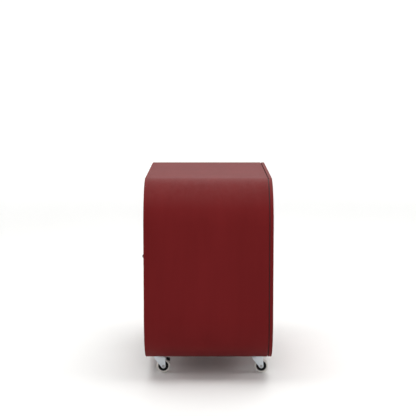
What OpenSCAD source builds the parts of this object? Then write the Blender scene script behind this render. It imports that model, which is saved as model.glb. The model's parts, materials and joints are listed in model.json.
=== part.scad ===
// Mobile newspaper vending cabinet: a steel shell wrapped round four large corners,
// two windowed doors either side of a coin post, a screwed-on rear panel and four castors.
// X runs along the long side, the doors face -Y, +Z is up and the wheels stand on z = 0.

/* [Cabinet] */
// Overall length of the cabinet, side to side
body_l = 930; // [780:10:1120]
// Overall depth, from the door side to the back of the rear panel
body_d = 450; // [375:5:540]
// Height of the shell, without the castors
body_h = 645; // [580:5:775]
// Outer radius of the four wrapped corners
corner_r = 160; // [130:1:192]
// Thickness of the wrapped sheet
sheet_t = 2; // [1.5:0.1:3]
// Width of the front edge, folded round the door opening
front_flange = 16; // [14:1:20]
// Width of the rear edge, folded inwards
rear_flange = 24; // [20:1:30]

/* [Rear panel] */
// Thickness of the rear panel
back_t = 12; // [9:0.5:18]
// Width of the shadow gap between shell and rear panel
back_gap = 2.5; // [2:0.1:4]
// Distance of the panel screws from the panel's edge
screw_inset = 14; // [12:1:16]
// Spacing of the panel screws along the top and the bottom
screw_pitch = 200; // [165:5:235]
// Distance of the side screws above and below the middle of the panel
side_screws = 90; // [75:5:105]

/* [Doors] */
// Depth of the folded door trays
door_t = 16; // [13:0.5:20]
// Thickness of the door sheet
door_skin = 1.5; // [1:0.1:2]
// Gap between a door and the edges round it
door_gap = 3; // [2.5:0.1:4]
// How far the doors and the coin plate sit behind the front edge
door_recess = 1; // [0.5:0.1:2]
// Distance from a door's inner edge to its window
window_in = 54; // [45:1:65]
// Distance from a door's hinge edge to its window
window_out = 38; // [34:1:46]
// Distance from the shell's top and bottom to the windows
window_end = 92; // [85:1:120]
// Corner radius of the windows
window_r = 18; // [14:1:22]
// Thickness of the clear window panes
pane_t = 3; // [2:0.1:4]
// Width of the pane behind the door sheet, all round the window
pane_lap = 9; // [6:1:12]
// How far a ball knob stands out from the front edge
knob_out = 25; // [22:1:30]
// Diameter of the ball knobs
knob_d = 16.5; // [14:0.1:20]

/* [Hinges] */
// Distance from the ends of a continuous hinge to the round corners
hinge_end = 3; // [2:0.5:10]
// Number of knuckles in a hinge
knuckles = 9; // [7:2:11]
// Gap between a hinge's barrel and the edge of its door
hinge_gap = 1.5; // [1.5:0.1:2.5]
// Radius of the hinge barrel
barrel_r = 4; // [3.4:0.1:4.3]
// Radius of the hinge pin
pin_r = 2; // [1.7:0.1:2.4]

/* [Coin post] */
// Half the width of the post between the doors
post_half = 38; // [34:1:46]
// Thickness of the coin plate and of the cash drawer's front
plate_t = 2; // [1.5:0.1:3]
// Half the inside width of the coin column
column_half = 80; // [70:1:96]
// Height of the cash drawer's front
drawer_h = 126; // [105:1:151]
// Length of the cash drawer's box
drawer_l = 200; // [167:1:240]
// Length of a coin slot
slot_l = 30; // [26:1:34]
// Radius of the coin return buttons
button_r = 6; // [5:0.1:7.2]
// Travel of the coin return buttons
button_travel = 4; // [3:0.1:5]

/* [Inside] */
// Thickness of the partitions, floors and shelves
board_t = 12; // [9:0.5:15]
// Height of the bay floors above the shell's underside
floor_up = 70; // [60:1:84]
// Height of the shelves above the shell's underside
shelf_up = 355; // [296:1:426]
// Radius of the shelf pins
peg_r = 2.5; // [2:0.1:3]

/* [Castors] */
// Height of the castors, floor to shell
castor_h = 70; // [66:1:84]
// Side of the square castor plate
castor_plate = 60; // [54:1:66]
// Spacing of the castor bolts, both ways
bolt_pitch = 45; // [42:1:48]
// Distance of the castors' swivel axes from the front and the back of the cabinet
castor_inset = 47; // [42:1:60]
// Radius of the wheels
wheel_r = 25; // [21:0.5:25.5]
// Width of the tyres
tyre_w = 18; // [15:0.5:19]
// Distance of the axle behind the swivel axis
trail = 14; // [12:0.5:16]

/* [Hidden] */
$fn = 96;

paint = "#63191c";
zinc = "#b9c0c6";
steel = "#a7a9ab";
black = "#1b1b1c";

// The knobs stand out at the front, so the body sits back by half of that
y_front = -(body_d - knob_out) / 2;
y_back = y_front + body_d;
y_shell = y_back - back_t - back_gap;
y_inside = y_shell - sheet_t;
z_bot = castor_h;
z_top = castor_h + body_h;
z_mid = (z_bot + z_top) / 2;
y_face = y_front + door_recess;
touch = 0.3;     // between pieces that only rest beside each other
run = 0.05;      // radial clearance of a turning or sliding fit
eps = 0.5;       // overshoot of a cut

// Rear panel's screws and gasket
head_r = 5.5;
head_h = 3;
screw_out = 6;
gasket_in = 6;
gasket_w = 16;

// Door stop frame behind the doors
seal_t = 1.2;
seal_in = 3;
seal_w = 6;
stop_w = 12;
stop_d = 20;
stop_lap = 10;
y_stop = y_face + door_t + seal_t + touch;
y_bay = y_stop + stop_d;
cheek_t = 2.5;
wing_t = 2;
edge_z0 = z_bot + front_flange + door_gap;
edge_z1 = z_top - front_flange - door_gap;
base_t = 6;
base_half = body_l / 2 - corner_r - 1;
z_base = z_bot + sheet_t + base_t;

// Hinges: the barrels lie just behind the front edge, in the gap beside the door
hinge_x = body_l / 2 - front_flange - barrel_r - 1;
hinge_y = y_front + barrel_r + 0.5;
hinge_z0 = z_bot + corner_r + hinge_end;
hinge_z1 = z_top - corner_r - hinge_end;
knuckle_l = (hinge_z1 - hinge_z0) / knuckles;
leaf_t = 2;
root_t = 3;
door_edge = hinge_x - barrel_r - hinge_gap;
door_inner = post_half + door_gap;

// Knobs, latches and catches on the doors
knob_x = door_inner + 20;
latch_z = z_mid + 82;
latch_w = 9;
latch_h = 15;
latch_y = y_face + door_t / 2;
strike_l = 34;
magnet_w = 12;
magnet_h = 40;
magnet_z = z_mid - 110;

// Coin mechanisms and what lies under them
y_plate = y_face + plate_t;
mech_z0 = z_mid + 28;
mech_h = 200;
mech_d = 70;
mech_gap = 4;
slot_z = mech_z0 + mech_h - 40;
slot_w = 3;
button_z = slot_z - 70;
post_in = post_half - cheek_t;
mech_x = (mech_gap / 2 + post_in - 1) / 2;
cup_z = z_mid - 126;
cup_h = 50;
cup_half = post_in - 4.5;
cup_d = 50;
cup_open = 4;
flap_t = 1.6;
pivot_r = 1.5;
can_t = 1.5;
chute_d = 24;
drawer_z0 = edge_z0;
drawer_z1 = drawer_z0 + drawer_h;
drawer_floor = z_bot + front_flange + stop_w + 2;
lock_space = 23;
lock_r = 8;
lock_z = drawer_z0 + drawer_h * 0.6;
cam_w = 12;
cam_t = 3;
cam_l = post_half + 1.6;
cam_y = y_plate + 12;
pin_grip = 8;

// Castors
castor_x = body_l / 2 - corner_r - castor_plate / 2;
castor_ys = [y_front + castor_inset, y_back - castor_inset];
plate_th = 2.5;
bolt_r = 3;
bolt_head_r = 5;
bolt_head_h = 3.5;
plate_r = 5;
race_r = 19;
race_h = 8;
crown_r = 20;
crown_h = 3.3;
kingpin_r = 5;
kingpin_head_r = 8;
kingpin_head_h = 2.5;
z_race = castor_h - plate_th - race_h;
z_crown = z_race - touch - crown_h;
leg_t = 2;
leg_in = tyre_w / 2 + 1.5;
leg_lean = 36;
axle_r = 3;
rim_r = wheel_r * 0.74;
brake_y = trail + 3.5;
brake_z = z_crown - 3.1;
brake_boss = 2.4;

// A 2D outline in X and Z, drawn out along Y from y0 to y1
module slab(y0, y1) {
    rotate([90, 0, 0]) translate([0, 0, -y1]) linear_extrude(y1 - y0) children();
}

// A 2D outline in Y and Z, drawn out along X from x0 to x1
module fin(x0, x1) {
    translate([x0, 0, 0]) rotate([90, 0, 90]) linear_extrude(x1 - x0) children();
}

// A box from one corner to the opposite one
module block(lo, hi) {
    translate(lo) cube(hi - lo);
}

// A straight round bar along Y or X
module bar_y(r, y0, y1) {
    translate([0, y0, 0]) rotate([-90, 0, 0]) cylinder(r = r, h = y1 - y0);
}
module bar_x(r, x0, x1) {
    translate([x0, 0, 0]) rotate([0, 90, 0]) cylinder(r = r, h = x1 - x0);
}

// A piece drawn on the right, or mirrored to the left
module on_side(side) {
    if (side > 0) children();
    else mirror([1, 0, 0]) children();
}

// The cabinet's outline, moved inwards by inset
module outline(inset) {
    r = corner_r - inset;
    flat_x = body_l / 2 - corner_r;
    translate([-flat_x, z_bot + inset]) square([2 * flat_x, body_h - 2 * inset]);
    translate([-flat_x - r, z_bot + corner_r]) square([2 * (flat_x + r), body_h - 2 * corner_r]);
    for (x = [-flat_x, flat_x], z = [z_bot + corner_r, z_top - corner_r])
        translate([x, z]) circle(r);
}

// A flat ring that follows the outline
module ring(outer, inner) {
    difference() {
        outline(outer);
        outline(inner);
    }
}

// The right door's outline, moved inwards by inset
module door_outline(inset) {
    intersection() {
        outline(front_flange + door_gap + inset);
        translate([door_inner + inset, z_bot])
            square([door_edge - door_inner - 2 * inset, body_h]);
    }
}

// A rectangle with round corners
module round_rect(x0, x1, z0, z1, r) {
    translate([x0 + r, z0]) square([x1 - x0 - 2 * r, z1 - z0]);
    translate([x0, z0 + r]) square([x1 - x0, z1 - z0 - 2 * r]);
    for (x = [x0 + r, x1 - r], z = [z0 + r, z1 - r])
        translate([x, z]) circle(r);
}

// The right door's window, grown by lap
module window_outline(lap) {
    round_rect(door_inner + window_in - lap, door_edge - window_out + lap,
        z_bot + window_end - lap, z_top - window_end + lap, window_r + lap);
}

module castors() {
    for (x = [-castor_x, castor_x], y = castor_ys)
        translate([x, y, 0]) children();
}

module castor_bolt_places() {
    castors() for (x = [-0.5, 0.5], y = [-0.5, 0.5])
        translate([x * bolt_pitch, y * bolt_pitch, 0]) children();
}

module panel_screw_places() {
    for (x = [-screw_pitch, 0, screw_pitch], z = [z_bot + screw_inset, z_top - screw_inset])
        translate([x, 0, z]) children();
    for (x = [-1, 1] * (body_l / 2 - screw_inset), z = [z_mid - side_screws, z_mid + side_screws])
        translate([x, 0, z]) children();
}

// --- Cabinet ---

module shell() {
    color(paint) difference() {
        slab(y_front, y_shell) ring(0, sheet_t);
        castor_bolt_places() translate([0, 0, z_bot - eps])
            cylinder(r = bolt_r + run, h = sheet_t + 2 * eps);
    }
}

// Flat rings, welded in flush with the front and rear edges of the shell
module edge_rings() {
    color(paint) difference() {
        union() {
            slab(y_front, y_front + sheet_t) ring(sheet_t, front_flange);
            slab(y_inside, y_shell) ring(sheet_t, rear_flange);
        }
        panel_screw_places() bar_y(peg_r + run, y_inside - eps, y_shell + eps);
    }
}

module back_panel() {
    color(paint) difference() {
        slab(y_shell + back_gap, y_back) outline(0);
        panel_screw_places() {
            bar_y(peg_r + run, y_shell, y_back + eps);
            translate([0, y_back - head_h, 0]) rotate([-90, 0, 0])
                cylinder(r1 = peg_r + run, r2 = head_r + run, h = head_h);
        }
    }
}

module back_gasket() {
    color(black) difference() {
        slab(y_shell, y_shell + back_gap) ring(gasket_in, gasket_in + gasket_w);
        panel_screw_places() bar_y(peg_r + run, y_shell - eps, y_back);
    }
}

module back_screws() {
    color(steel) panel_screw_places() {
        bar_y(peg_r, y_inside - screw_out, y_back - head_h);
        translate([0, y_back - head_h, 0]) rotate([-90, 0, 0])
            cylinder(r1 = peg_r, r2 = head_r, h = head_h);
    }
}

module base_plate_body() {
    block([-base_half, y_front + sheet_t, z_bot + sheet_t], [base_half, y_inside, z_base]);
}

module base_plate() {
    color(zinc) difference() {
        base_plate_body();
        castor_bolt_places() translate([0, 0, z_bot])
            cylinder(r = bolt_r + run, h = sheet_t + base_t + eps);
    }
}

// Welded stop frame: a ring and two strips behind the doors, the post's cheeks and wings
module front_frame() {
    wing_x = column_half + board_t;
    color(paint) difference() {
        union() {
            slab(y_stop, y_bay) ring(sheet_t, front_flange + stop_w);
            for (side = [-1, 1]) on_side(side) {
                slab(y_stop, y_stop + wing_t) intersection() {
                    outline(sheet_t);
                    translate([door_edge - stop_lap, z_bot]) square([stop_lap + stop_w, body_h]);
                }
                block([post_in, y_plate, edge_z0], [post_half, y_bay, edge_z1]);
                block([post_in, y_stop, edge_z0], [wing_x, y_stop + wing_t, edge_z1]);
                block([wing_x - wing_t, y_stop, edge_z0], [wing_x, y_bay, edge_z1]);
            }
        }
        base_plate_body();
        for (side = [-1, 1]) on_side(side) {
            translate([post_in - eps, latch_y, latch_z])
                latch_hole(cheek_t + 2 * eps);
            block([post_in - eps, cam_y - 1.2, lock_z - cam_w / 2 - 2],
                [post_half + eps, cam_y + cam_t + 1.2, lock_z + 20]);
        }
    }
}

module latch_hole(length) {
    clear = 1;
    translate([0, -latch_w / 2 - clear, -latch_h / 2 - clear])
        cube([length, latch_w + 2 * clear, latch_h + 2 * clear]);
}

module door_seals() {
    color(black) for (side = [-1, 1]) on_side(side)
        slab(y_stop - seal_t, y_stop) difference() {
            door_outline(seal_in);
            door_outline(seal_in + seal_w);
        }
}

module door_magnets() {
    color(black) for (side = [-1, 1]) on_side(side)
        block([door_inner + 11, y_face + door_skin + touch, magnet_z],
            [door_inner + 11 + magnet_w, y_stop, magnet_z + magnet_h]);
}

module partition() {
    difference() {
        block([column_half, y_bay, z_base], [column_half + board_t, y_inside, z_top - sheet_t]);
        partition_peg_places() bar_x(peg_r + run, board_t - pin_grip, board_t + eps);
    }
}

module left_partition() {
    color("#6d6a66") on_side(-1) partition();
}

module right_partition() {
    color("#6d6a66") on_side(1) partition();
}

peg_ys = [y_bay + 60, y_inside - 60];

module partition_peg_places() {
    for (y = peg_ys, z = [z_bot + floor_up - peg_r, z_bot + shelf_up - peg_r])
        translate([column_half, y, z]) children();
}

module bay_floors() {
    color("#6d6a66") for (side = [-1, 1]) on_side(side) intersection() {
        slab(y_bay, y_inside) outline(sheet_t + touch);
        block([column_half + board_t, y_bay - eps, z_bot + floor_up],
            [body_l / 2, y_shell, z_bot + floor_up + board_t]);
    }
}

module shelves() {
    color("#6d6a66") for (side = [-1, 1]) on_side(side)
        block([column_half + board_t, y_bay, z_bot + shelf_up],
            [body_l / 2 - sheet_t - touch, y_inside - screw_out - 1, z_bot + shelf_up + board_t]);
}

module shelf_pins() {
    wall_x = body_l / 2 - sheet_t;
    color(steel) for (side = [-1, 1]) on_side(side) {
        partition_peg_places() bar_x(peg_r, board_t - pin_grip, board_t + pin_grip);
        for (y = peg_ys) translate([0, y, z_bot + shelf_up - peg_r])
            bar_x(peg_r, wall_x - pin_grip, wall_x);
    }
}

// --- Coin post ---

module coin_plate() {
    bezel = 1.5;
    color(steel) difference() {
        union() {
            block([-post_half, y_face, drawer_z1 + 2], [post_half, y_plate, edge_z1]);
            for (side = [-1, 1]) translate([side * mech_x, 0, 0]) {
                slab(y_face - bezel, y_plate)
                    round_rect(-7, 7, slot_z - slot_l / 2 - 7, slot_z + slot_l / 2 + 7, 3);
                translate([0, 0, button_z]) bar_y(button_r + 4, y_face - bezel, y_plate);
            }
        }
        for (side = [-1, 1]) translate([side * mech_x, 0, 0]) {
            block([-slot_w / 2, y_front - 5, slot_z - slot_l / 2],
                [slot_w / 2, y_plate + eps, slot_z + slot_l / 2]);
            translate([0, 0, button_z]) bar_y(button_r + touch, y_front - 5, y_plate + eps);
        }
        slab(y_front - eps, y_plate + eps)
            round_rect(-cup_half + cup_open, cup_half - cup_open, cup_z + cup_open,
                cup_z + cup_h - cup_open, 5);
    }
}

// Box that reads the coins: a slot at the front, a drop shaft, and ways for button and latch
module coin_mech() {
    half = post_in - 1 - mech_x;
    color("#8d9092") difference() {
        block([mech_x - half, y_plate, mech_z0], [mech_x + half, y_plate + mech_d, mech_z0 + mech_h]);
        block([mech_x - slot_w / 2, y_plate - eps, slot_z - slot_l / 2],
            [mech_x + slot_w / 2, y_plate + 44, slot_z + slot_l / 2]);
        block([mech_x - slot_w / 2, y_plate + 14, mech_z0 - eps],
            [mech_x + slot_w / 2, y_plate + 44, slot_z]);
        translate([mech_x, 0, button_z]) bar_y(button_r + touch, y_plate - eps, y_plate + 13);
        translate([mech_gap, latch_y, latch_z]) rotate([90, 0, 90])
            linear_extrude(post_half) square([latch_w + 2 * touch, latch_h + 2 * touch], center = true);
    }
}

module left_coin_mech() {
    on_side(-1) coin_mech();
}

module right_coin_mech() {
    on_side(1) coin_mech();
}

module return_button() {
    color(steel) translate([mech_x, 0, button_z])
        bar_y(button_r, y_face - button_travel - 1, y_plate + 8);
}

module left_return_button() {
    on_side(-1) return_button();
}

module right_return_button() {
    on_side(1) return_button();
}

module latch() {
    color(zinc) block([mech_gap + 3, latch_y - latch_w / 2, latch_z - latch_h / 2],
        [post_half - 0.5, latch_y + latch_w / 2, latch_z + latch_h / 2]);
}

module left_latch() {
    on_side(-1) latch();
}

module right_latch() {
    on_side(1) latch();
}

flap_z = cup_z + cup_h - can_t - 2.3;
flap_y = y_plate + 3;

module coin_cup() {
    color(steel) difference() {
        block([-cup_half, y_plate, cup_z], [cup_half, y_plate + cup_d, cup_z + cup_h]);
        block([-cup_half + can_t, y_plate - eps, cup_z + can_t],
            [cup_half - can_t, y_plate + cup_d - can_t, cup_z + cup_h - can_t]);
        translate([0, flap_y, flap_z]) bar_x(pivot_r + run, -cup_half - eps, cup_half + eps);
    }
}

module coin_cup_flap() {
    half = cup_half - can_t - 0.5;
    color(steel) {
        translate([0, flap_y, flap_z]) bar_x(pivot_r, -cup_half, cup_half);
        block([-half, flap_y - flap_t / 2, cup_z + can_t + 1], [half, flap_y + flap_t / 2, flap_z]);
    }
}

module coin_chute() {
    y0 = y_plate + cup_d;
    z0 = drawer_z1 + 4;
    z1 = mech_z0 - touch;
    color(zinc) difference() {
        block([-cup_half, y0, z0], [cup_half, y0 + chute_d, z1]);
        block([-cup_half + can_t, y0 + can_t, z0 - eps],
            [cup_half - can_t, y0 + chute_d - can_t, z1 + eps]);
    }
}

// Cash drawer: a front flush with the coin plate, a lock space and an open box behind it
module cash_drawer() {
    half = post_in - 1.5;
    y1 = y_plate + lock_space + drawer_l;
    z1 = drawer_z1 - 3;
    color(steel) difference() {
        union() {
            block([-post_half, y_face, drawer_z0], [post_half, y_plate, drawer_z1]);
            block([-half, y_plate, drawer_floor], [half, y1, drawer_floor + 25]);
            block([-half, y_plate + lock_space, drawer_floor], [half, y1, z1]);
        }
        block([-half + can_t, y_plate, drawer_floor + can_t],
            [half - can_t, y_plate + lock_space, z1 + eps]);
        block([-half + can_t, y_plate + lock_space + can_t, drawer_floor + can_t],
            [half - can_t, y1 - can_t, z1 + eps]);
        translate([0, 0, lock_z]) bar_y(lock_r + run, y_front, y_plate + eps);
    }
}

module cash_lock() {
    key_w = 1.6;
    color(zinc) difference() {
        union() {
            translate([0, 0, lock_z]) bar_y(lock_r, y_face - 1.5, cam_y);
            translate([0, 0, lock_z]) bar_y(4, cam_y - eps, cam_y + cam_t + 2);
            block([-cam_w / 2, cam_y, lock_z], [cam_w / 2, cam_y + cam_t, lock_z + cam_l]);
        }
        block([-key_w / 2, y_face - 3, lock_z - 4], [key_w / 2, y_face + 6, lock_z + 4]);
    }
}

module drawer_runners() {
    half = post_in - 1.5;
    z1 = drawer_floor - touch;
    color(zinc) for (side = [-1, 1]) on_side(side) {
        block([half - 22, y_bay, z_base], [half, y_plate + lock_space + drawer_l, z_base + 2]);
        block([half - 2, y_bay, z_base], [half, y_plate + lock_space + drawer_l, z1]);
        block([half - 12, y_bay, z1 - 2], [half, y_plate + lock_space + drawer_l, z1]);
    }
}

// --- Doors ---

// Folded tray: front sheet, turned edges, and a turned edge round the window
module door() {
    y1 = y_face + door_t;
    color(paint) difference() {
        union() {
            slab(y_face, y_face + door_skin) door_outline(0);
            slab(y_face, y1) difference() {
                door_outline(0);
                door_outline(door_skin);
            }
            slab(y_face + door_skin, y1 - 2) difference() {
                window_outline(pane_lap + touch + door_skin);
                window_outline(pane_lap + touch);
            }
        }
        slab(y_face - eps, y_face + door_skin + eps) window_outline(0);
        translate([door_inner - eps, latch_y, latch_z]) latch_hole(door_skin + 2 * eps);
    }
}

module window() {
    color("#c4d0d4", 0.4) slab(y_face + door_skin, y_face + door_skin + pane_t)
        window_outline(pane_lap);
}

module knob() {
    y_tip = y_front - knob_out;
    color(black) translate([knob_x, 0, z_mid]) {
        translate([0, y_tip + knob_d / 2, 0]) sphere(d = knob_d);
        bar_y(3.5, y_tip + knob_d / 2, y_face);
        bar_y(6.5, y_face - 2.5, y_face);
    }
}

// The pin's bore along a hinge
module hinge_bore() {
    translate([hinge_x, hinge_y, hinge_z0 - eps])
        cylinder(r = pin_r + run, h = hinge_z1 - hinge_z0 + 2 * eps);
}

// Leaf along the door's edge, with every second knuckle of the continuous hinge
module door_hinge_leaf() {
    own_l = knuckle_l - 2 * touch;
    difference() {
        union() {
            for (k = [1:2:knuckles - 2]) translate([0, 0, hinge_z0 + k * knuckle_l + touch]) {
                translate([hinge_x, hinge_y, 0]) cylinder(r = barrel_r, h = own_l);
                block([door_edge, hinge_y - 2, 0],
                    [door_edge + root_t, hinge_y + barrel_r + 1, own_l]);
            }
            block([door_edge, hinge_y + barrel_r + 0.6, hinge_z0],
                [door_edge + leaf_t, y_face + door_t - 0.5, hinge_z1]);
        }
        hinge_bore();
    }
}

// Leaf behind the front ring, with the other knuckles
module frame_hinge_leaf() {
    difference() {
        union() {
            translate([hinge_x, hinge_y, hinge_z0]) cylinder(r = barrel_r, h = hinge_z1 - hinge_z0);
            block([hinge_x, y_front + sheet_t, hinge_z0],
                [body_l / 2 - sheet_t - touch, y_front + sheet_t + leaf_t, hinge_z1]);
        }
        for (k = [1:2:knuckles - 2]) translate([hinge_x, hinge_y, hinge_z0 + k * knuckle_l])
            cylinder(r = barrel_r + 0.4, h = knuckle_l);
        hinge_bore();
    }
}

module hinge_frame_leaves() {
    color(zinc) for (side = [-1, 1]) on_side(side) frame_hinge_leaf();
}

module hinge_pins() {
    cap = 1.2;
    color(steel) for (side = [-1, 1]) on_side(side) translate([hinge_x, hinge_y, hinge_z0]) {
        translate([0, 0, -cap]) cylinder(r = pin_r, h = hinge_z1 - hinge_z0 + cap);
        translate([0, 0, hinge_z1 - hinge_z0]) cylinder(r = pin_r + 1, h = cap);
    }
}

module strike() {
    x0 = door_inner + door_skin;
    color(zinc) difference() {
        block([x0, latch_y - 6.5, latch_z - strike_l / 2],
            [x0 + 1.5, latch_y + 6.5, latch_z + strike_l / 2]);
        translate([x0 - eps, latch_y, latch_z]) latch_hole(3);
    }
}

module left_door() {
    on_side(-1) door();
}

module right_door() {
    on_side(1) door();
}

module left_window() {
    on_side(-1) window();
}

module right_window() {
    on_side(1) window();
}

module left_knob() {
    on_side(-1) knob();
}

module right_knob() {
    on_side(1) knob();
}

module left_hinge_leaves() {
    color(zinc) on_side(-1) door_hinge_leaf();
}

module right_hinge_leaves() {
    color(zinc) on_side(1) door_hinge_leaf();
}

module left_strike() {
    on_side(-1) strike();
}

module right_strike() {
    on_side(1) strike();
}

// --- Castors ---

module castor_plates() {
    half = castor_plate / 2;
    color(zinc) castors() difference() {
        union() {
            translate([0, 0, castor_h - plate_th]) linear_extrude(plate_th)
                round_rect(-half, half, -half, half, plate_r);
            translate([0, 0, z_race]) cylinder(r = race_r, h = race_h);
        }
        for (x = [-0.5, 0.5], y = [-0.5, 0.5])
            translate([x * bolt_pitch, y * bolt_pitch, z_race])
                cylinder(r = bolt_r + run, h = race_h + plate_th + eps);
        translate([0, 0, z_race - eps]) cylinder(r = kingpin_r + run, h = race_h + plate_th + 2 * eps);
    }
}

module castor_kingpins() {
    z0 = z_crown - touch - kingpin_head_h;
    color(steel) castors() {
        translate([0, 0, z0]) cylinder(r = kingpin_head_r, h = kingpin_head_h);
        translate([0, 0, z0]) cylinder(r = kingpin_r, h = castor_h - z0);
    }
}

module castor_bolts() {
    z0 = castor_h - plate_th;
    color(steel) castor_bolt_places() {
        translate([0, 0, z0 - bolt_head_h]) cylinder(r = bolt_head_r, h = bolt_head_h);
        translate([0, 0, z0]) cylinder(r = bolt_r, h = z_base - z0);
    }
}

// Side view of one fork leg: as broad as the crown at the top, narrow and round at the axle
module leg_outline() {
    eye = axle_r + 5;
    top = z_crown + crown_h;
    translate([trail, wheel_r]) circle(eye);
    polygon([[2 - crown_r, top], [2 - crown_r, top - 5],
        [trail - eye * cos(leg_lean), wheel_r - eye * sin(leg_lean)], [trail + eye, wheel_r],
        [crown_r, top]]);
}

module fork(braked) {
    color(zinc) difference() {
        union() {
            translate([0, 0, z_crown]) cylinder(r = crown_r, h = crown_h);
            fin(leg_in, leg_in + leg_t) leg_outline();
            fin(-leg_in - leg_t, -leg_in) leg_outline();
            if (braked) translate([0, brake_y, brake_z]) bar_x(pivot_r, -leg_in - leg_t, leg_in + leg_t);
        }
        translate([0, 0, z_crown - eps]) cylinder(r = kingpin_r + run, h = crown_h + 2 * eps);
        translate([0, trail, wheel_r]) bar_x(axle_r + run, -leg_in - leg_t - eps, leg_in + leg_t + eps);
    }
}

module axle() {
    end = leg_in + leg_t;
    head_h = 2.5;
    color(steel) translate([0, trail, wheel_r]) {
        bar_x(axle_r, -end - head_h, end);
        bar_x(5, end, end + head_h);
        translate([-end - head_h, 0, 0]) rotate([0, 90, 0]) cylinder(r = 5.4, h = head_h, $fn = 6);
    }
}

// Spoke-less rim: hub, thin web and rim band, turned round the axle
module rim() {
    hub_r = axle_r + 4;
    hub_w = leg_in - touch;
    web = 2.5;
    band = 3;
    color(black) translate([0, trail, wheel_r]) rotate([0, 90, 0]) rotate_extrude()
        polygon([[axle_r + run, -hub_w], [hub_r, -hub_w], [hub_r + 1, -web], [rim_r - band, -web],
            [rim_r - band, -tyre_w / 2 + 0.8], [rim_r, -tyre_w / 2 + 0.8],
            [rim_r, tyre_w / 2 - 0.8], [rim_r - band, tyre_w / 2 - 0.8], [rim_r - band, web],
            [hub_r + 1, web], [hub_r, hub_w], [axle_r + run, hub_w]]);
}

module tyre() {
    seat_r = rim_r + run;
    shoulder = (wheel_r - seat_r) * 0.45;
    color("#b9b8b4") translate([0, trail, wheel_r]) rotate([0, 90, 0]) rotate_extrude() {
        translate([seat_r, -tyre_w / 2]) square([wheel_r - seat_r - shoulder, tyre_w]);
        translate([seat_r, -tyre_w / 2 + shoulder])
            square([wheel_r - seat_r, tyre_w - 2 * shoulder]);
        for (x = [-1, 1]) translate([wheel_r - shoulder, x * (tyre_w / 2 - shoulder)])
            circle(shoulder);
    }
}

// Foot lever that lies over the wheel and turns on the fork's cross pin
module brake() {
    half = leg_in - 1.2;
    color(black) difference() {
        union() {
            translate([0, brake_y, brake_z]) bar_x(brake_boss, -half, half);
            fin(-half, half) translate([brake_y, brake_z])
                polygon([[-1, 1.9], [3.5, 1.9], [19.5, -0.8], [20.8, -3], [20.5, -9.2], [14, -8],
                    [8, -4.7], [-1, -1.9]]);
        }
        translate([0, brake_y, brake_z]) bar_x(pivot_r + run, -half - eps, half + eps);
    }
}

module at_castor(side, row) {
    translate([side * castor_x, castor_ys[row], 0]) children();
}

shell();
edge_rings();
back_panel();
back_gasket();
back_screws();
front_frame();
door_seals();
door_magnets();
coin_plate();
left_coin_mech();
right_coin_mech();
coin_chute();
coin_cup();
coin_cup_flap();
left_return_button();
right_return_button();
left_latch();
right_latch();
cash_drawer();
cash_lock();
drawer_runners();
left_partition();
right_partition();
bay_floors();
shelves();
shelf_pins();
base_plate();
hinge_frame_leaves();
hinge_pins();
left_door();
left_window();
left_knob();
left_hinge_leaves();
left_strike();
right_door();
right_window();
right_knob();
right_hinge_leaves();
right_strike();
castor_plates();
castor_kingpins();
castor_bolts();
at_castor(-1, 0) fork(true);  // front_left_fork
at_castor(-1, 0) axle();  // front_left_axle
at_castor(-1, 0) rim();  // front_left_rim
at_castor(-1, 0) tyre();  // front_left_tyre
at_castor(-1, 0) brake();  // front_left_brake
at_castor(1, 0) fork(true);  // front_right_fork
at_castor(1, 0) axle();  // front_right_axle
at_castor(1, 0) rim();  // front_right_rim
at_castor(1, 0) tyre();  // front_right_tyre
at_castor(1, 0) brake();  // front_right_brake
at_castor(-1, 1) fork(false);  // rear_left_fork
at_castor(-1, 1) axle();  // rear_left_axle
at_castor(-1, 1) rim();  // rear_left_rim
at_castor(-1, 1) tyre();  // rear_left_tyre
at_castor(1, 1) fork(false);  // rear_right_fork
at_castor(1, 1) axle();  // rear_right_axle
at_castor(1, 1) rim();  // rear_right_rim
at_castor(1, 1) tyre();  // rear_right_tyre
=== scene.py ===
import json
import math
import bpy
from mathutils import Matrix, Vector


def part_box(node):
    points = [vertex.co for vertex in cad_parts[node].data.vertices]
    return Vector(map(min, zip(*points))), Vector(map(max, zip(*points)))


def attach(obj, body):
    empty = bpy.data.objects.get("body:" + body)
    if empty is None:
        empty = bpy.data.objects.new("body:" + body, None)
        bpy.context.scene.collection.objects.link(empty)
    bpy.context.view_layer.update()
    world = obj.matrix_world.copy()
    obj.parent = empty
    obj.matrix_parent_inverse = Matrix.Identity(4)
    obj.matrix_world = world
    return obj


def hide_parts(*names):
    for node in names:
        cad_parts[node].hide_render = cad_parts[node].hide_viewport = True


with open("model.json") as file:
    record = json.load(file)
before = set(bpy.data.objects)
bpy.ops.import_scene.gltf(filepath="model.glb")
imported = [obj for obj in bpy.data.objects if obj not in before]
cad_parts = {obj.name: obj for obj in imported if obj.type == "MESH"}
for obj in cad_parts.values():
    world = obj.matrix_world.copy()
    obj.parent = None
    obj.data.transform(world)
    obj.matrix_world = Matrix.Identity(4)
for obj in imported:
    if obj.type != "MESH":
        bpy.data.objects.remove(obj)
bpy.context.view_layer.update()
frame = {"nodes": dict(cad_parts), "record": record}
print("frame loaded:", len(frame["nodes"]), "nodes")

mm = 0.001
sides = ["left", "right"]
castorNames = ["front_left", "front_right", "rear_left", "rear_right"]


# ---- small helpers for working by hand ----

def clearSelection():
    if bpy.context.mode != "OBJECT":
        bpy.ops.object.mode_set(mode="OBJECT")
    bpy.ops.object.select_all(action="DESELECT")


def activate(obj):
    clearSelection()
    obj.select_set(True)
    bpy.context.view_layer.objects.active = obj


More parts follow.
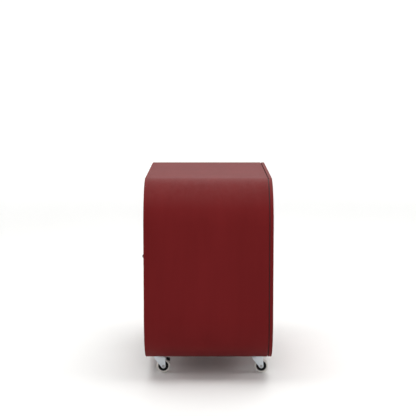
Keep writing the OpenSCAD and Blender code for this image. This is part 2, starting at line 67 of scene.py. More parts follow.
def editWith(obj, mode, test):
    # enter edit mode with the faces or edges that pass the test selected
    activate(obj)
    bpy.ops.object.mode_set(mode="EDIT")
    bpy.ops.mesh.select_mode(type=mode)
    bpy.ops.mesh.select_all(action="DESELECT")
    bpy.ops.object.mode_set(mode="OBJECT")
    mesh = obj.data
    if mode == "FACE":
        for face in mesh.polygons:
            face.select = test(face.center, face.normal)
    else:
        for edge in mesh.edges:
            a, b = (mesh.vertices[i].co for i in edge.vertices)
            edge.select = test((a + b) / 2, (b - a).normalized())
    bpy.ops.object.mode_set(mode="EDIT")


def leaveEdit():
    bpy.ops.object.mode_set(mode="OBJECT")


def addModifier(obj, kind, **values):
    modifier = obj.modifiers.new(kind.title(), kind)
    for key, value in values.items():
        setattr(modifier, key, value)
    activate(obj)
    bpy.ops.object.modifier_apply(modifier=modifier.name)


def roundEdges(obj, width, segments=2, angle=30):
    addModifier(obj, "BEVEL", width=width, segments=segments, limit_method="ANGLE",
                angle_limit=math.radians(angle), use_clamp_overlap=False)


def smooth(obj, angle=35):
    activate(obj)
    bpy.ops.object.shade_smooth_by_angle(angle=math.radians(angle))


def flattenFaces(obj):
    # broad faces keep a flat look beside their eased edges
    addModifier(obj, "WEIGHTED_NORMAL", keep_sharp=True, weight=100)


def blockFrom(lo, hi):
    # a cube primitive stretched between two corners
    clearSelection()
    lo, hi = Vector(lo), Vector(hi)
    bpy.ops.mesh.primitive_cube_add(size=1, location=(lo + hi) / 2)
    obj = bpy.context.active_object
    obj.scale = hi - lo
    bpy.ops.object.transform_apply(location=True, rotation=True, scale=True)
    return obj


def rodBetween(start, end, radius, vertices=24):
    # a cylinder primitive along X, Y or Z
    clearSelection()
    start, end = Vector(start), Vector(end)
    turn = (end - start).to_track_quat("Z", "Y").to_euler()
    bpy.ops.mesh.primitive_cylinder_add(radius=radius, depth=(end - start).length, vertices=vertices,
                                        location=(start + end) / 2, rotation=turn)
    obj = bpy.context.active_object
    bpy.ops.object.transform_apply(location=True, rotation=True, scale=True)
    return obj


def spinProfile(points, centre, axis, steps=48):
    # lathe: points are (radius, distance along the axis), joined by edges and spun a full turn
    clearSelection()
    axis = Vector(axis)
    out = Vector((0, 0, 1)) if abs(axis.z) < 0.5 else Vector((1, 0, 0))
    bpy.ops.mesh.primitive_plane_add(size=mm)
    obj = bpy.context.active_object
    bpy.ops.object.mode_set(mode="EDIT")
    bpy.ops.mesh.select_mode(type="VERT")
    bpy.ops.mesh.select_all(action="SELECT")
    bpy.ops.mesh.merge(type="CENTER")
    first = Vector(centre) + out * points[0][0] + axis * points[0][1]
    bpy.ops.transform.translate(value=first)
    for before, after in zip(points, points[1:]):
        step = out * (after[0] - before[0]) + axis * (after[1] - before[1])
        bpy.ops.mesh.extrude_vertices_move(TRANSFORM_OT_translate={"value": step})
    bpy.ops.mesh.select_all(action="SELECT")
    bpy.ops.mesh.spin(steps=steps, angle=2 * math.pi, center=centre, axis=axis)
    bpy.ops.mesh.select_all(action="SELECT")
    bpy.ops.mesh.remove_doubles(threshold=0.01 * mm)
    bpy.ops.mesh.normals_make_consistent(inside=False)
    leaveEdit()
    bpy.ops.object.transform_apply(location=True, rotation=True, scale=True)
    return obj


def arc(centre, radius, start, end, steps):
    # points of an arc in (radius, along) space, angles in degrees
    turn = [math.radians(start + (end - start) * i / steps) for i in range(steps + 1)]
    return [(centre[0] + radius * math.cos(t), centre[1] + radius * math.sin(t)) for t in turn]


def copyOfNode(node, name, width, segments=2):
    # the CAD solid again, with its hard edges eased when a width is given
    mesh = frame["nodes"][node].data.copy()
    mesh.materials.clear()
    obj = bpy.data.objects.new(name, mesh)
    bpy.context.scene.collection.objects.link(obj)
    editWith(obj, "FACE", lambda centre, normal: True)
    bpy.ops.mesh.remove_doubles(threshold=0.002 * mm)
    if width:
        # merging flat faces can close a hole inside one, so such a node is given no width
        bpy.ops.mesh.dissolve_limited(angle_limit=math.radians(1.0))
    leaveEdit()
    if width:
        roundEdges(obj, width, segments)
    return obj


def joinPieces(parts):
    activate(parts[0])
    for part in parts[1:]:
        part.select_set(True)
    bpy.ops.object.join()
    return bpy.context.active_object


def mirrorToLeft(obj):
    activate(obj)
    bpy.ops.object.mode_set(mode="EDIT")
    bpy.ops.mesh.select_all(action="SELECT")
    bpy.ops.transform.mirror(constraint_axis=(True, False, False), center_override=(0, 0, 0))
    bpy.ops.mesh.flip_normals()
    leaveEdit()
    return obj


def onSide(obj, side):
    # pieces are made on the right, and mirrored for the left
    return obj if side == "right" else mirrorToLeft(obj)


def cutWith(obj, cutter):
    addModifier(obj, "BOOLEAN", operation="DIFFERENCE", object=cutter, solver="EXACT")
    bpy.data.objects.remove(cutter)


def frameRing(lo, hi, radius, width, steps=10):
    # a flat ring with round corners, facing -Y: a block, its corners rounded, hollowed through
    obj = blockFrom(lo, hi)
    editWith(obj, "EDGE", lambda middle, along: abs(along.y) > 0.9)
    bpy.ops.mesh.bevel(offset=radius, segments=steps, affect="EDGES")
    leaveEdit()
    editWith(obj, "FACE", lambda centre, normal: abs(normal.y) > 0.9)
    bpy.ops.mesh.inset(thickness=width, depth=0, use_even_offset=True)
    bpy.ops.mesh.bridge_edge_loops()
    leaveEdit()
    return obj


def socketScrew(head, axis, radius, height, shank, length, socket):
    # domed head with a hexagon socket; head is the point where the head meets the surface
    axis = Vector(axis)
    profile = [(0, -length), (shank, -length), (shank, 0), (radius, 0), (radius, height * 0.3)]
    profile += arc((radius - height * 0.6, height * 0.3), height * 0.6, 10, 80, 4)
    profile += [(radius * 0.5, height), (0, height)]
    obj = spinProfile(profile, head, axis, 24)
    top = Vector(head) + axis * (height + 1 * mm)
    cutWith(obj, rodBetween(top, top - axis * (height * 0.7 + 1 * mm), socket, 6))
    return obj


def place(obj, name, material, body, slot, *replaced):
    obj.name = name
    obj.data.name = name
    obj.data.materials.clear()
    obj.data.materials.append(material)
    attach(obj, body)
    if replaced:
        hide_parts(*replaced)
    return obj


# ---- shader groups shared by the finishes ----

def newGroup(name, inputs, outputs):
    group = bpy.data.node_groups.new(name, "ShaderNodeTree")
    for label, kind, value in inputs:
        socket = group.interface.new_socket(name=label, in_out="INPUT", socket_type=kind)
        socket.default_value = value
    for label in outputs:
        group.interface.new_socket(name=label, in_out="OUTPUT", socket_type="NodeSocketFloat")
    return group, group.nodes.new("NodeGroupInput"), group.nodes.new("NodeGroupOutput")


def scaledNoise(group, vector, scale, detail, rough):
    noise = group.nodes.new("ShaderNodeTexNoise")
    noise.inputs["Detail"].default_value = detail
    noise.inputs["Roughness"].default_value = rough
    group.links.new(vector, noise.inputs["Vector"])
    if isinstance(scale, (int, float)):
        noise.inputs["Scale"].default_value = scale
    else:
        group.links.new(scale, noise.inputs["Scale"])
    return noise.outputs["Fac"]


def makeGrainGroup():
    # orange-peel texture of sprayed paint, and broad vertical mottling
    group, given, made = newGroup(
        "sprayGrain",
        [("Fine", "NodeSocketFloat", 900.0), ("Cloud", "NodeSocketFloat", 9.0)],
        ["Grain", "Mottle"])
    coord = group.nodes.new("ShaderNodeTexCoord")
    stretch = group.nodes.new("ShaderNodeMapping")
    stretch.inputs["Scale"].default_value = (1.0, 1.6, 0.22)
    group.links.new(coord.outputs["Object"], stretch.inputs["Vector"])
    fine = scaledNoise(group, coord.outputs["Object"], given.outputs["Fine"], 2.0, 0.6)
    cloud = scaledNoise(group, stretch.outputs["Vector"], given.outputs["Cloud"], 5.0, 0.62)
    group.links.new(fine, made.inputs["Grain"])
    group.links.new(cloud, made.inputs["Mottle"])
    return group


def makeBrushGroup():
    # fine parallel lines, long along the axis with the smallest stretch
    group, given, made = newGroup(
        "brushLines",
        [("Stretch", "NodeSocketVector", (1.0, 1.0, 0.02)), ("Lines", "NodeSocketFloat", 1500.0)],
        ["Line", "Smudge"])
    coord = group.nodes.new("ShaderNodeTexCoord")
    scaled = group.nodes.new("ShaderNodeVectorMath")
    scaled.operation = "MULTIPLY"
    group.links.new(coord.outputs["Object"], scaled.inputs[0])
    group.links.new(given.outputs["Stretch"], scaled.inputs[1])
    lines = scaledNoise(group, scaled.outputs["Vector"], given.outputs["Lines"], 3.0, 0.55)
    smudge = scaledNoise(group, coord.outputs["Object"], 28.0, 4.0, 0.6)
    group.links.new(lines, made.inputs["Line"])
    group.links.new(smudge, made.inputs["Smudge"])
    return group


def makeDustGroup():
    # a little dust on what faces up and on what is low down
    group, given, made = newGroup(
        "settledDust",
        [("Height", "NodeSocketFloat", 0.16), ("Amount", "NodeSocketFloat", 0.3)],
        ["Dust"])
    coord = group.nodes.new("ShaderNodeTexCoord")
    facing = group.nodes.new("ShaderNodeNewGeometry")
    splitPlace = group.nodes.new("ShaderNodeSeparateXYZ")
    splitNormal = group.nodes.new("ShaderNodeSeparateXYZ")
    group.links.new(coord.outputs["Object"], splitPlace.inputs[0])
    group.links.new(facing.outputs["Normal"], splitNormal.inputs[0])
    low = group.nodes.new("ShaderNodeMapRange")
    low.inputs["From Min"].default_value = 0.0
    low.inputs["To Min"].default_value = 1.0
    low.inputs["To Max"].default_value = 0.0
    group.links.new(splitPlace.outputs["Z"], low.inputs["Value"])
    group.links.new(given.outputs["Height"], low.inputs["From Max"])
    up = group.nodes.new("ShaderNodeMapRange")
    up.inputs["From Min"].default_value = 0.4
    up.inputs["From Max"].default_value = 1.0
    group.links.new(splitNormal.outputs["Z"], up.inputs["Value"])
    most = group.nodes.new("ShaderNodeMath")
    most.operation = "MAXIMUM"
    group.links.new(low.outputs[0], most.inputs[0])
    group.links.new(up.outputs[0], most.inputs[1])
    patch = scaledNoise(group, coord.outputs["Object"], 55.0, 6.0, 0.7)
    patchy = group.nodes.new("ShaderNodeMath")
    patchy.operation = "MULTIPLY"
    group.links.new(most.outputs[0], patchy.inputs[0])
    group.links.new(patch, patchy.inputs[1])
    amount = group.nodes.new("ShaderNodeMath")
    amount.operation = "MULTIPLY"
    group.links.new(patchy.outputs[0], amount.inputs[0])
    group.links.new(given.outputs["Amount"], amount.inputs[1])
    group.links.new(amount.outputs[0], made.inputs["Dust"])
    return group


grainGroup = makeGrainGroup()
brushGroup = makeBrushGroup()
dustGroup = makeDustGroup()


# ---- finishes ----

def newFinish(name, **sockets):
    material = bpy.data.materials.new(name)
    material.use_nodes = True
    shader = material.node_tree.nodes["Principled BSDF"]
    for label, value in sockets.items():
        shader.inputs[label.replace("_", " ")].default_value = value
    return material, material.node_tree, shader


def placeGroup(tree, group, **values):
    node = tree.nodes.new("ShaderNodeGroup")
    node.node_tree = group
    for label, value in values.items():
        node.inputs[label].default_value = value
    return node


def mixColours(tree, factor, first, second):
    # first and second are colours or sockets, factor is a socket
    mix = tree.nodes.new("ShaderNodeMix")
    mix.data_type = "RGBA"
    tree.links.new(factor, mix.inputs["Factor"])
    for label, value in (("A", first), ("B", second)):
        socket = next(s for s in mix.inputs if s.name == label and s.type == "RGBA")
        if isinstance(value, (tuple, list)):
            socket.default_value = (*value, 1.0)
        else:
            tree.links.new(value, socket)
    return next(s for s in mix.outputs if s.type == "RGBA")


def rangeOf(tree, value, fromMin, fromMax, toMin, toMax):
    node = tree.nodes.new("ShaderNodeMapRange")
    for label, number in (("From Min", fromMin), ("From Max", fromMax),
                          ("To Min", toMin), ("To Max", toMax)):
        node.inputs[label].default_value = number
    tree.links.new(value, node.inputs["Value"])
    return node.outputs[0]


def bumpFrom(tree, height, strength, distance):
    bump = tree.nodes.new("ShaderNodeBump")
    bump.inputs["Strength"].default_value = strength
    bump.inputs["Distance"].default_value = distance
    tree.links.new(height, bump.inputs["Height"])
    return bump.outputs["Normal"]


paint = {
    "deep": (0.118, 0.0060, 0.0068),
    "light": (0.140, 0.0082, 0.0092),
    "dust": (0.46, 0.38, 0.35),
    "fine": 700.0,
    "cloud": 7.0,
    "roughness": (0.58, 0.68),
    "grainDepth": 0.35 * mm,
}


def makePaint(name, settings, dustAmount, grainStrength):
    material, tree, shader = newFinish(name, IOR=1.5, Specular_IOR_Level=0.08)
    grain = placeGroup(tree, grainGroup, Fine=settings["fine"], Cloud=settings["cloud"])
    dust = placeGroup(tree, dustGroup, Height=0.14, Amount=dustAmount)
    mottle = rangeOf(tree, grain.outputs["Mottle"], 0.3, 0.7, 0.0, 1.0)
    colour = mixColours(tree, mottle, settings["deep"], settings["light"])
    colour = mixColours(tree, dust.outputs["Dust"], colour, settings["dust"])
    tree.links.new(colour, shader.inputs["Base Color"])
    rough = rangeOf(tree, grain.outputs["Grain"], 0.3, 0.7, *settings["roughness"])
    tree.links.new(rough, shader.inputs["Roughness"])
    normal = bumpFrom(tree, grain.outputs["Grain"], grainStrength, settings["grainDepth"])
    tree.links.new(normal, shader.inputs["Normal"])
    return material


def makeMetal(name, dark, light, roughness, stretch, lines, metallic=1.0, bump=0.05):
    # plated, brushed or plain metal: fine lines and soft smudges in colour and gloss
    material, tree, shader = newFinish(name, Metallic=metallic)
    brush = placeGroup(tree, brushGroup, Stretch=stretch, Lines=lines)
    smudge = rangeOf(tree, brush.outputs["Smudge"], 0.3, 0.7, 0.0, 1.0)
    tree.links.new(mixColours(tree, smudge, dark, light), shader.inputs["Base Color"])
    both = tree.nodes.new("ShaderNodeMath")
    both.operation = "MULTIPLY"
    tree.links.new(brush.outputs["Line"], both.inputs[0])
    tree.links.new(brush.outputs["Smudge"], both.inputs[1])
    tree.links.new(rangeOf(tree, both.outputs[0], 0.1, 0.45, *roughness), shader.inputs["Roughness"])
    tree.links.new(bumpFrom(tree, brush.outputs["Line"], bump, 0.1 * mm), shader.inputs["Normal"])
    return material


def makePlain(name, dark, light, roughness, fine, bump=0.1, dustAmount=0.15, **sockets):
    # plastics, rubber, boards and paper: grain in colour, gloss and surface
    material, tree, shader = newFinish(name, **sockets)
    grain = placeGroup(tree, grainGroup, Fine=fine, Cloud=14.0)
    dust = placeGroup(tree, dustGroup, Height=0.10, Amount=dustAmount)
    mottle = rangeOf(tree, grain.outputs["Mottle"], 0.3, 0.7, 0.0, 1.0)
    colour = mixColours(tree, mottle, dark, light)
    colour = mixColours(tree, dust.outputs["Dust"], colour, (0.42, 0.39, 0.36))
    tree.links.new(colour, shader.inputs["Base Color"])
    tree.links.new(rangeOf(tree, grain.outputs["Grain"], 0.3, 0.7, *roughness), shader.inputs["Roughness"])
    tree.links.new(bumpFrom(tree, grain.outputs["Grain"], bump, 0.2 * mm), shader.inputs["Normal"])
    return material


def makePane():
    material, tree, shader = newFinish("clearPane", Transmission_Weight=1.0, IOR=1.585)
    brush = placeGroup(tree, brushGroup, Stretch=(1.0, 1.0, 0.3), Lines=220.0)
    smudge = rangeOf(tree, brush.outputs["Smudge"], 0.35, 0.75, 0.0, 1.0)
    tree.links.new(mixColours(tree, smudge, (0.97, 0.985, 0.985), (0.92, 0.945, 0.95)),
                   shader.inputs["Base Color"])
    tree.links.new(rangeOf(tree, brush.outputs["Smudge"], 0.45, 0.85, 0.01, 0.12), shader.inputs["Roughness"])
    return material


finish = {
    "paint": makePaint("burgundyPaint", paint, dustAmount=0.06, grainStrength=0.25),
    "panelPaint": makePaint("burgundyPanelPaint", dict(paint, fine=420.0, cloud=5.0), 0.06, 0.2),
    "board": makePlain("greyBoard", (0.145, 0.140, 0.135), (0.20, 0.195, 0.188), (0.55, 0.75), 380.0),
    "zinc": makeMetal("brightZinc", (0.60, 0.66, 0.72), (0.74, 0.79, 0.84), (0.22, 0.42), (1, 1, 1), 260.0),
    "castorZinc": makeMetal("castorZinc", (0.72, 0.80, 0.85), (0.86, 0.91, 0.94), (0.26, 0.46), (1, 1, 1),
                            320.0, metallic=0.55),
    "steel": makeMetal("plainSteel", (0.42, 0.43, 0.44), (0.56, 0.57, 0.58), (0.28, 0.48), (1, 1, 1), 500.0),
    "brushed": makeMetal("brushedPlate", (0.52, 0.52, 0.52), (0.57, 0.57, 0.57), (0.30, 0.42),
                         (1.0, 1.0, 0.012), 2600.0, bump=0.10),
    "polished": makeMetal("polishedSteel", (0.66, 0.66, 0.67), (0.76, 0.76, 0.77), (0.06, 0.16), (1, 1, 1),
                          240.0),
    "casting": makeMetal("greyCasting", (0.36, 0.37, 0.38), (0.46, 0.47, 0.48), (0.45, 0.62), (1,
                                                                                               1, 1), 900.0,
                         metallic=0.9, bump=0.3),
    "rubber": makePlain("blackRubber", (0.012, 0.012, 0.013), (0.022, 0.022, 0.023), (0.55, 0.75), 1400.0),
    "plastic": makePlain("blackPlastic", (0.006, 0.006, 0.007), (0.010, 0.010, 0.011), (0.40, 0.52),
                         1600.0, dustAmount=0.01, Specular_IOR_Level=0.25),
    "gloss": makePlain("glossBlack", (0.006, 0.006, 0.006), (0.010, 0.010, 0.010), (0.07, 0.12), 300.0,
                       bump=0.01, dustAmount=0.0),
    "tread": makePlain("greyTread", (0.70, 0.67, 0.63), (0.80, 0.78, 0.74), (0.55, 0.72), 1100.0,
                       dustAmount=0.12),
    "pane": makePane(),
}
print("finishes ready:", len(finish))


# ---- camera: level with the cabinet's narrow end, a little above it ----

shellLo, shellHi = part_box("shell")
panelLo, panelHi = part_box("back_panel")
bodyMidY = (shellLo.y + panelHi.y) / 2

view = {"lens": 108.75, "distance": 4.283, "height": 1.1645, "pitch": 7.16, "aside": -1.65 * mm}


def makeCamera(settings):
    data = bpy.data.cameras.new("endView")
    data.lens = settings["lens"]
    data.clip_end = 100.0
    camera = bpy.data.objects.new("endView", data)
    bpy.context.scene.collection.objects.link(camera)
    camera.location = (shellHi.x + settings["distance"], bodyMidY + settings["aside"], settings["height"])
    camera.rotation_euler = (math.radians(90 - settings["pitch"]), 0, math.radians(90))
    bpy.context.scene.camera = camera


makeCamera(view)


# ---- studio ----

studio = {
    "floorSize": 26.0, "wallFar": -9.5, "wallHeight": 9.0, "sweepRadius": 4.0,
    "sweepSteps": 24, "pale": ((0.86, 0.86, 0.845), (0.89, 0.89, 0.878)),
    "world": 0.22, "horizon": 0.97, "glow": 0.62, "glowRange": (1.1, 6.5), "aim": (0, 0, 0.4),
    "top": {"size": 3.2, "place": (0.4, 0.0, 3.3), "power": 88.0},
    "rear": {"size": 2.4, "place": (-2.6, 0.4, 3.2), "power": 40.0},
    "front": {"size": 2.0, "place": (3.6, 0.0, 2.4), "power": 40.0},
    "doorSide": {"size": 2.2, "place": (0.3, -3.9, 1.5), "power": 52.0},
    "panelSide": {"size": 2.2, "place": (0.3, 3.9, 1.5), "power": 52.0},
}


def makeFloor(settings):
    half = settings["floorSize"] / 2
    clearSelection()
    bpy.ops.mesh.primitive_plane_add(size=settings["floorSize"], location=(settings["wallFar"] + half, 0, 0))
    floor = bpy.context.active_object
    bpy.ops.object.transform_apply(location=True, rotation=True, scale=True)
    editWith(floor, "EDGE", lambda middle, along: middle.x < settings["wallFar"] + 0.1)
    bpy.ops.mesh.extrude_region_move(TRANSFORM_OT_translate={"value": (0, 0, settings["wallHeight"])})
    leaveEdit()
    editWith(floor, "EDGE", lambda middle, along: middle.x < settings["wallFar"] + 0.1 and middle.z < 0.1
             and abs(along.y) > 0.9)
    bpy.ops.mesh.bevel(offset=settings["sweepRadius"], segments=settings["sweepSteps"], affect="EDGES")
    leaveEdit()
    smooth(floor, 40)
    floor.name = "paleFloor"
    material, tree, shader = newFinish("paleFloor", Roughness=0.7, Specular_IOR_Level=0.2)
    coord = tree.nodes.new("ShaderNodeTexCoord")
    cloud = scaledNoise(tree, coord.outputs["Object"], 3.0, 4.0, 0.5)
    colour = mixColours(tree, cloud, *settings["pale"])
    tree.links.new(colour, shader.inputs["Base Color"])
    away = tree.nodes.new("ShaderNodeVectorMath")
    away.operation = "LENGTH"
    tree.links.new(coord.outputs["Object"], away.inputs[0])
    glow = rangeOf(tree, away.outputs["Value"], *settings["glowRange"], 0.0, 1.0)
    tree.links.new(mixColours(tree, glow, (0.0, 0.0, 0.0), (settings["glow"],) * 3),
                   shader.inputs["Emission Color"])
    shader.inputs["Emission Strength"].default_value = 1.0
    floor.data.materials.append(material)


def makeLight(name, settings, aim):
    data = bpy.data.lights.new(name, "AREA")
    data.shape = "SQUARE"
    data.size = settings["size"]
    data.energy = settings["power"]
    light = bpy.data.objects.new(name, data)
    bpy.context.scene.collection.objects.link(light)
    light.location = settings["place"]
    light.rotation_euler = (Vector(aim) - light.location).to_track_quat("-Z", "Y").to_euler()
    light.visible_camera = False


def makeStudio(settings):
    makeFloor(settings)
    for name in ("top", "rear", "front", "doorSide", "panelSide"):
        makeLight(name + "Softbox", settings[name], settings["aim"])
    world = bpy.data.worlds.new("studioWorld")
    world.use_nodes = True
    sky = world.node_tree.nodes["Background"]
    sky.inputs["Color"].default_value = (1, 1, 1, 1)
    ray = world.node_tree.nodes.new("ShaderNodeLightPath")
    strength = rangeOf(world.node_tree, ray.outputs["Is Camera Ray"], 0, 1, settings["world"],
                       settings["horizon"])
    world.node_tree.links.new(strength, sky.inputs["Strength"])
    bpy.context.scene.world = world
    bpy.context.scene.view_settings.view_transform = "Standard"


makeStudio(studio)
print("studio ready")


# ---- wrapped shell ----

shell = {"cornerRadius": 160 * mm, "cornerSteps": 40, "frontFold": 16 * mm, "rearFold": 24 * mm,
         "sheet": 2 * mm, "foldRadius": 2.4 * mm}


def makeShell(settings):
    obj = blockFrom(shellLo, shellHi)
    editWith(obj, "EDGE", lambda middle, along: abs(along.y) > 0.9)
    bpy.ops.mesh.bevel(offset=settings["cornerRadius"], segments=settings["cornerSteps"], affect="EDGES")
    leaveEdit()
    for facing, fold in ((-1, settings["frontFold"]), (1, settings["rearFold"])):
        editWith(obj, "FACE", lambda centre, normal: normal.y * facing > 0.9)
        bpy.ops.mesh.inset(thickness=fold, depth=0, use_even_offset=True)
        bpy.ops.mesh.delete(type="FACE")
        leaveEdit()
    roundEdges(obj, settings["foldRadius"], 4, 60)
    addModifier(obj, "SOLIDIFY", thickness=settings["sheet"], offset=-1, use_even_offset=True)
    smooth(obj, 50)
    place(obj, "wrappedShell", finish["paint"], "cabinet", "painted_steel", "shell", "edge_rings")


makeShell(shell)
print("shell ready")


# ---- nodes that keep their shape ----

eased = {
    # node: (edge width in mm, or 0 to keep the CAD mesh, finish, slot)
    "back_panel": (1.2, "panelPaint", "painted_panel"),
    "front_frame": (0, "paint", "painted_steel"),
    "left_door": (0.5, "paint", "painted_steel"),
    "right_door": (0.5, "paint", "painted_steel"),
    "coin_plate": (0.35, "brushed", "brushed_plate"),
    "cash_drawer": (0.35, "brushed", "brushed_plate"),
    "coin_cup": (0.3, "brushed", "brushed_plate"),
    "coin_cup_flap": (0.3, "brushed", "brushed_plate"),
    "cash_lock": (0, "polished", "polished_steel"),
    "left_return_button": (0.9, "polished", "polished_steel"),
    "right_return_button": (0.9, "polished", "polished_steel"),
    "left_coin_mech": (0.8, "casting", "grey_casting"),
    "right_coin_mech": (0.8, "casting", "grey_casting"),
    "coin_chute": (0.3, "zinc", "zinc_sheet"),
    "drawer_runners": (0.3, "zinc", "zinc_sheet"),
    "left_latch": (0.6, "zinc", "zinc_sheet"),
    "right_latch": (0.6, "zinc", "zinc_sheet"),
    "left_strike": (0.2, "zinc", "zinc_sheet"),
    "right_strike": (0.2, "zinc", "zinc_sheet"),
    "left_hinge_leaves": (0.3, "zinc", "zinc_sheet"),
    "right_hinge_leaves": (0.3, "zinc", "zinc_sheet"),
    "hinge_frame_leaves": (0.3, "zinc", "zinc_sheet"),
    "hinge_pins": (0.3, "steel", "steel_fixing"),
    "left_partition": (0.6, "board", "grey_board"),
    "right_partition": (0.6, "board", "grey_board"),
    "bay_floors": (0.6, "board", "grey_board"),
    "shelves": (0.6, "board", "grey_board"),
    "shelf_pins": (0.4, "steel", "steel_fixing"),
    "base_plate": (0.4, "zinc", "zinc_sheet"),
    "door_magnets": (0.5, "plastic", "black_plastic"),
    "castor_plates": (0.5, "castorZinc", "castor_zinc"),
    "castor_kingpins": (0.5, "steel", "steel_fixing"),
}
for castor in castorNames:
    eased[castor + "_fork"] = (0, "castorZinc", "castor_zinc")
    eased[castor + "_axle"] = (0.5, "steel", "steel_fixing")
    eased[castor + "_rim"] = (0.5, "plastic", "black_plastic")


def bodyOfNode(node):
    return next(name for name, nodes in frame["record"]["behaviour"]["bodies"].items() if node in nodes)


def easeNodes(table):
    for node, (width, look, slot) in table.items():
        obj = copyOfNode(node, node + "_eased", width * mm)
        smooth(obj)
        flattenFaces(obj)
        place(obj, node + "_eased", finish[look], bodyOfNode(node), slot, node)


easeNodes(eased)
plainNodes = {"back_gasket": "rubber", "door_seals": "rubber", "left_window": "pane", "right_window": "pane"}
for node, look in plainNodes.items():
    frame["nodes"][node].data.materials.clear()
    frame["nodes"][node].data.materials.append(finish[look])
print("eased nodes ready:", len(eased))


# ---- ball knobs ----

knob = {"ballRadius": 8.25 * mm, "neckRadius": 3.5 * mm, "roseRadius": 6.5 * mm, "roseDepth": 2.5 * mm,
        "roseRound": 1.2 * mm, "neckFlare": 0.6 * mm, "neckRise": 0.8 * mm}


def makeKnob(side, settings):
    lo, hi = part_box(side + "_knob")
    centre = Vector(((lo.x + hi.x) / 2, hi.y, (lo.z + hi.z) / 2))
    ball, neck, rose = settings["ballRadius"], settings["neckRadius"], settings["roseRadius"]
    ballAt = hi.y - lo.y - ball
    start = math.degrees(math.asin(neck / ball))
    profile = [(0, 0), (rose, 0), (rose, settings["roseDepth"] * 0.55)]
    soft = settings["roseRound"]
    profile += arc((rose - soft, settings["roseDepth"] * 0.55), soft, 0, 80, 5)
    profile += [(neck + settings["neckFlare"], settings["roseDepth"]),
                (neck, settings["roseDepth"] + settings["neckRise"])]
    profile += arc((0, ballAt), ball, -90 + start, 90, 26)
    obj = spinProfile(profile, centre, (0, -1, 0), 56)
    smooth(obj, 40)
    place(obj, side + "_ball_knob", finish["gloss"], side + "_door", "gloss_black", side + "_knob")


for side in sides:
    makeKnob(side, knob)
print("knobs ready")


# ---- windows: rubber strip round the edge, clips that hold the pane ----

glazing = {"corner": 18 * mm, "lap": 9 * mm, "lip": 3.6 * mm, "inside": 1.2 * mm, "stand": 0.8 * mm,
           "skin": 1.5 * mm, "edge": 0.35 * mm, "overlap": 0.1 * mm}
clip = {"length": 14 * mm, "thick": 1.2 * mm, "foot": 7.4 * mm, "leg": 8 * mm, "edge": 0.3 * mm,
        "fromEnds": 0.2, "rivet": 2 * mm, "rivetUp": 0.62, "rivetHigh": 1.0 * mm, "rivetEdge": 0.5 * mm}


def windowEdges(settings):
    lo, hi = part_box("right_window")
    lap = settings["lap"]
    return (lo.x + lap, hi.x - lap, lo.z + lap, hi.z - lap, lo.y, hi.y)


def makeStrip(side, settings):
    x0, x1, z0, z1, paneFront, paneBack = windowEdges(settings)
    lip, inside = settings["lip"], settings["inside"]
    face = paneFront - settings["skin"]
    front = frameRing((x0 - lip, face - settings["stand"], z0 - lip), (x1 + lip, face, z1 + lip),
                      settings["corner"] + lip, lip + inside)
    roundEdges(front, settings["edge"], 3)
    throat = frameRing((x0, face - settings["overlap"], z0), (x1, paneFront, z1), settings["corner"], inside)
    obj = onSide(joinPieces([front, throat]), side)
    smooth(obj, 40)
    place(obj, side + "_window_strip", finish["rubber"], side + "_door", "black_rubber")


def makeClip(corner, along, inward, paneBack, settings):
    # corner: a point on the pane's edge; along and inward: unit directions in the pane's plane
    half = along * settings["length"] / 2
    back = Vector((0, 1, 0))
    foot = inward * settings["foot"]
    wall = inward * settings["thick"]
    base = corner + back * (paneBack - corner.y)

    def slab(first, last):
        low = Vector([min(a, b) for a, b in zip(first, last)])
        high = Vector([max(a, b) for a, b in zip(first, last)])
        return blockFrom(low, high)

    parts = [slab(base - half, base + half + foot + back * settings["thick"]),
             slab(base - half, base + half + wall + back * settings["leg"])]
    for part in parts:
        roundEdges(part, settings["edge"], 2)
    middle = base + back * settings["leg"] * settings["rivetUp"]
    rivet = rodBetween(middle + wall * 0.5, middle + wall + inward * settings["rivetHigh"],
                       settings["rivet"], 16)
    roundEdges(rivet, settings["rivetEdge"], 2)
    return joinPieces(parts + [rivet])


def makeClips(side, settings):
    x0, x1, z0, z1, paneFront, paneBack = windowEdges(glazing)
    lap = glazing["lap"]
    right, up = Vector((1, 0, 0)), Vector((0, 0, 1))
    parts = []
    inset = settings["fromEnds"] * (z1 - z0)
    for z in (z0 + inset, z1 - inset):
        parts.append(makeClip(Vector((x0 - lap, 0, z)), up, right, paneBack, settings))
        parts.append(makeClip(Vector((x1 + lap, 0, z)), up, -right, paneBack, settings))
    for z, inward in ((z0 - lap, up), (z1 + lap, -up)):
        parts.append(makeClip(Vector(((x0 + x1) / 2, 0, z)), right, inward, paneBack, settings))
    obj = onSide(joinPieces(parts), side)
    smooth(obj)
    place(obj, side + "_pane_clips", finish["zinc"], side + "_door", "zinc_sheet")


for side in sides:
    makeStrip(side, glazing)
    makeClips(side, clip)
print("windows ready")


# ---- screws: coin plate, knobs and rear panel ----

plateScrews = {"across": 31 * mm, "heights": (229 * mm, 350 * mm, 684 * mm), "radius": 3.6 * mm,
               "height": 1.9 * mm, "shank": 1.6 * mm, "length": 1.5 * mm, "socket": 1.4 * mm,
               "proud": 1.5 * mm}
knobScrew = {"radius": 4.5 * mm, "height": 2.4 * mm, "shank": 1.8 * mm, "length": 0.5 * mm,
             "socket": 1.5 * mm, "washer": 7 * mm, "washerThick": 1.0 * mm, "washerEdge": 0.25 * mm,
             "skin": 1.5 * mm}
panelScrew = {"spots": [(-200, 84), (0, 84), (200, 84), (-200, 701), (0, 701), (200, 701),
                        (-451, 302.5), (-451, 482.5), (451, 302.5), (451, 482.5)],
              "head": 5.4 * mm, "deep": 2.95 * mm, "shank": 2.5 * mm, "length": 25 * mm,
              "socket": 1.9 * mm, "socketDeep": 1.8 * mm, "rim": 0.3 * mm, "point": 1.5 * mm}


